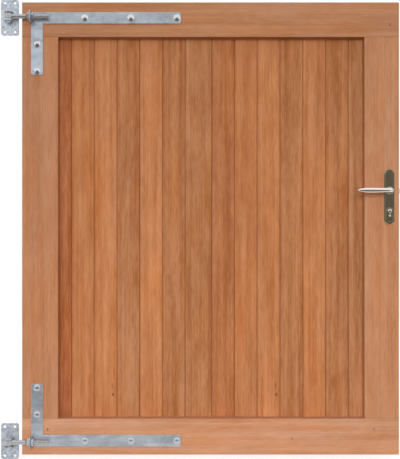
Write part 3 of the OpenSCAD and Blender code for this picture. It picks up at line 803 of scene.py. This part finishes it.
lock = {
    "edge": 0.4 * mm, "bodyRadius": 8.5 * mm, "webRadius": 5 * mm, "slotHalf": 0.9 * mm,
    "plugRadius": 8.0 * mm, "plugRise": 3.0 * mm, "footRadius": 4.4 * mm, "footRise": 1.8 * mm,
    "domeSteps": 8, "turnSteps": 40,
}
screw = {
    "radius": 3.6 * mm, "topRadius": 2.952 * mm, "sideShare": 0.4, "sunk": 1.5 * mm,
    "socket": 2.0 * mm, "deep": 1.2 * mm, "steps": 36,
    "plateRise": 1.5 * mm, "fromPlateTop": 15 * mm, "underLever": 45 * mm, "guardRise": 4 * mm,
    "lockRise": 0.5 * mm, "fromLockEnd": 9 * mm,
}


def domedCap(radius, rise):
    # a shallow dome along X, standing on a sunk foot
    dome = domeProfile(radius, rise, rise, lock["domeSteps"])
    return lathe([(-lock["edge"], 0), (-lock["edge"], radius)] + dome, lock["turnSteps"])


def keyedHalf(side):
    # the part of the plug on one side of the key slot
    bm = domedCap(lock["plugRadius"], lock["plugRise"])
    cutAway(bm, (0, side * lock["slotHalf"], 0), (0, -side, 0))
    bmesh.ops.recalc_face_normals(bm, faces=bm.faces)
    return bm


def lockCylinder():
    low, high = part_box("lock_cylinder")
    x = (low[0] + high[0]) / 2
    bm = mergedCopy("lock_cylinder")
    softenEdges(bm, lock["edge"])
    for y, outward in ((low[1], -1), (high[1], 1)):
        plugPlace = pointing((0, outward, 0), (x, y, high[2] - lock["bodyRadius"]))
        for half in (-1, 1):
            addShape(bm, keyedHalf(half), plugPlace)
        footPlace = pointing((0, outward, 0), (x, y, low[2] + lock["webRadius"]))
        addShape(bm, domedCap(lock["footRadius"], lock["footRise"]), footPlace)
    makePiece("lock_cylinder_nickel", bm, nickel, "leaf", ["lock_cylinder"])


def socketScrew(rise):
    # a low head whose round recess is pressed to a hexagon
    radius, socket, floor = screw["radius"], screw["socket"], rise - screw["deep"]
    bm = lathe([(-screw["sunk"], 0), (-screw["sunk"], radius), (rise * screw["sideShare"], radius),
                (rise, screw["topRadius"]), (rise, socket), (floor, socket), (floor, 0)], screw["steps"])
    for v in bm.verts:
        if abs(math.hypot(v.co.y, v.co.z) - socket) < meshing["merge"]:
            fromFlat = math.degrees(math.atan2(v.co.z, v.co.y)) % 60 - 30
            pressed = math.cos(math.radians(30)) / math.cos(math.radians(fromFlat))
            v.co.y *= pressed
            v.co.z *= pressed
    return bm


def lockScrews():
    bm = bmesh.new()
    low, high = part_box("back_handle_plate")
    leverZ = middleOf("lever_spindle").z
    for z in (leverZ - screw["underLever"], high[2] - screw["fromPlateTop"]):
        seat = ((low[0] + high[0]) / 2, high[1] - screw["guardRise"], z)
        addShape(bm, socketScrew(screw["plateRise"]), pointing((0, 1, 0), seat))
    low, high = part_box("mortise_lock")
    for z in (low[2] + screw["fromLockEnd"], high[2] - screw["fromLockEnd"]):
        seat = (high[0], (low[1] + high[1]) / 2, z)
        addShape(bm, socketScrew(screw["lockRise"]), pointing((1, 0, 0), seat))
    makePiece("lock_screws", bm, brightZinc, "leaf")


lockCylinder()
softPiece("mortise_lock", "mortise_lock_steel", lock["edge"], polished, "leaf")
softPiece("latch_bolt", "latch_bolt_steel", lock["edge"], latchSteel, "leaf")
softPiece("dead_bolt", "dead_bolt_steel", lock["edge"], brightZinc, "leaf")
lockScrews()
nodes["lever_spindle"].data.materials.clear()
nodes["lever_spindle"].data.materials.append(brightZinc)
print("lock fitted")

# floor, light and camera

studio = {
    "floorZ": -0.106, "floorFrom": (-3.6, -0.95), "floorTo": (3.6, 4.6), "floorRough": 0.9,
    "floorColour": (0.36, 0.36, 0.36), "floorSeen": (0.80, 0.80, 0.80),
    # painted reflection: metal sees the floor pale under the leaf and dark in front of it, while the camera
    # sees it pale
    "glossDepth": (-0.50, -0.62), "frontReflectionShade": (0.10, 0.09, 0.07), "floorGloss": 0.62,
    # the floor's glow rises from under the leaf outwards, as the lamps' light falls off
    "glowFrom": (0.8, 0.0), "glowReach": (0.9, 2.6), "glow": (0.38, 0.57),
    "worldLight": 0.52, "underLight": 0.10, "horizon": (-0.25, 0.25),
    # what metal sees of the world: dark round cards before and behind the leaf, dark flags beside it
    "cardColour": (0.190, 0.172, 0.150), "cardRound": (0.80, 0.87), "cardDrop": 0.42,
    "flagEdge": (0.90, 0.96), "flagTop": (0.36, 0.22), "glossUnder": 0.55, "underFade": (-0.05, -0.35),
    "lampSize": 3.0, "lampSpread": 92.0,
    "keyPower": 82.0, "keyAt": (0.55, -5.8, 1.7), "keyAim": (0.75, 0.0, -0.2),
    "fillPower": 62.0, "fillAt": (0.95, 5.8, 1.9), "fillAim": (0.75, 0.0, 0.3),
    "distance": 2.9, "cameraX": 0.755, "cameraZ": 0.841, "frameHeight": 1.826, "sensor": 36.0, "clipEnd": 200,
}


def seenRays(tree):
    # rays that show the background: seen directly, in metal or through glass
    path = tree.nodes.new("ShaderNodeLightPath").outputs
    seen = maths(tree, "MAXIMUM", path["Is Camera Ray"], path["Is Glossy Ray"])
    return maths(tree, "MAXIMUM", seen, path["Is Transmission Ray"]), path


def floorMaterial():
    mat, tree, shader = newTree("pale_floor")
    shader.inputs["Roughness"].default_value = studio["floorRough"]
    shader.inputs["Specular IOR Level"].default_value = 0.0
    shader.inputs["Emission Color"].default_value = (1, 1, 1, 1)
    seen, path = seenRays(tree)
    depth = axesOf(tree, objectCoords(tree))["Y"]
    # painted reflection: only glossy rays see the floor dark, and without glow, in front of the leaf
    darkInReflection = maths(tree, "MULTIPLY", spread(tree, depth, *studio["glossDepth"]), path["Is Glossy Ray"])
    colour = mixColour(tree, path["Is Camera Ray"], studio["floorColour"], studio["floorSeen"])
    colour = mixColour(tree, darkInReflection, colour, studio["frontReflectionShade"])
    tree.links.new(colour, shader.inputs["Base Color"])
    glowX, glowY = studio["glowFrom"]
    fromLeaf = lengthOf(tree, objectCoords(tree, (-glowX, -glowY, 0), (1, 1, 0)))
    lift = spread(tree, fromLeaf, *studio["glowReach"], *studio["glow"])
    gloss = spread(tree, darkInReflection, 0.0, 1.0, studio["floorGloss"], 0.0)
    glow = spread(tree, path["Is Glossy Ray"], 0.0, 1.0, lift, gloss)
    tree.links.new(maths(tree, "MULTIPLY", seen, glow), shader.inputs["Emission Strength"])
    return mat


def layFloor():
    low, high = Vector(studio["floorFrom"]), Vector(studio["floorTo"])
    span, middle = high - low, (low + high) / 2
    bm = bmesh.new()
    bmesh.ops.create_grid(bm, x_segments=1, y_segments=1, size=0.5)
    bmesh.ops.scale(bm, verts=bm.verts, vec=(span.x, span.y, 1))
    bmesh.ops.translate(bm, verts=bm.verts, vec=(middle.x, middle.y, studio["floorZ"]))
    mesh = bpy.data.meshes.new("studio_floor")
    bm.to_mesh(mesh)
    bm.free()
    mesh.materials.append(floorMaterial())
    floor = bpy.data.objects.new("studio_floor", mesh)
    bpy.context.scene.collection.objects.link(floor)


def lightWorld():
    world = bpy.data.worlds.new("studio_world")
    bpy.context.scene.world = world
    world.use_nodes = True
    tree = world.node_tree
    tree.nodes.clear()
    seen, path = seenRays(tree)
    compass = tree.nodes.new("ShaderNodeTexCoord")
    axes = axesOf(tree, compass.outputs["Generated"])
    soft = spread(tree, axes["Z"], *studio["horizon"], studio["underLight"], studio["worldLight"])
    strength = addNode(tree, "ShaderNodeMix", {0: seen, 2: soft, 3: 1.0}).outputs[0]
    # cards, flags and the shade below are met only by reflections
    across, deep, up = (maths(tree, "ABSOLUTE", axes[axis]) for axis in "XYZ")
    lowered = maths(tree, "SUBTRACT", deep, maths(tree, "MULTIPLY", axes["Z"], studio["cardDrop"]))
    disc = spread(tree, lowered, *studio["cardRound"])
    beside, level = spread(tree, across, *studio["flagEdge"]), spread(tree, up, *studio["flagTop"])
    dark = maths(tree, "MAXIMUM", disc, maths(tree, "MULTIPLY", beside, level))
    card = maths(tree, "MULTIPLY", dark, path["Is Glossy Ray"])
    below = spread(tree, axes["Z"], *studio["underFade"])
    under = maths(tree, "MULTIPLY", below, path["Is Glossy Ray"])
    shade = mixColour(tree, under, (1, 1, 1), (studio["glossUnder"],) * 3)
    tone = mixColour(tree, card, shade, studio["cardColour"])
    background = addNode(tree, "ShaderNodeBackground", {"Color": tone, "Strength": strength})
    out = tree.nodes.new("ShaderNodeOutputWorld")
    tree.links.new(background.outputs[0], out.inputs["Surface"])


def hangLamp(name):
    data = bpy.data.lights.new(name + "_light", "AREA")
    data.energy = studio[name + "Power"]
    data.shape = "SQUARE"
    data.size = studio["lampSize"]
    data.spread = math.radians(studio["lampSpread"])
    lamp = bpy.data.objects.new(name + "_light", data)
    lamp.location = studio[name + "At"]
    aim = Vector(studio[name + "Aim"]) - lamp.location
    lamp.rotation_euler = aim.to_track_quat("-Z", "Y").to_euler()
    lamp.visible_glossy = False
    bpy.context.scene.collection.objects.link(lamp)


def setCamera():
    data = bpy.data.cameras.new("photo_camera")
    data.sensor_width = studio["sensor"]
    data.lens = studio["sensor"] * studio["distance"] / studio["frameHeight"]
    data.clip_end = studio["clipEnd"]
    camera = bpy.data.objects.new("photo_camera", data)
    camera.location = (studio["cameraX"], -studio["distance"], studio["cameraZ"])
    camera.rotation_euler = (math.radians(90), 0, 0)
    bpy.context.scene.collection.objects.link(camera)
    bpy.context.scene.camera = camera


layFloor()
lightWorld()
for name in ("key", "fill"):
    hangLamp(name)
setCamera()
bpy.context.scene.view_settings.view_transform = "Standard"
print("studio set")
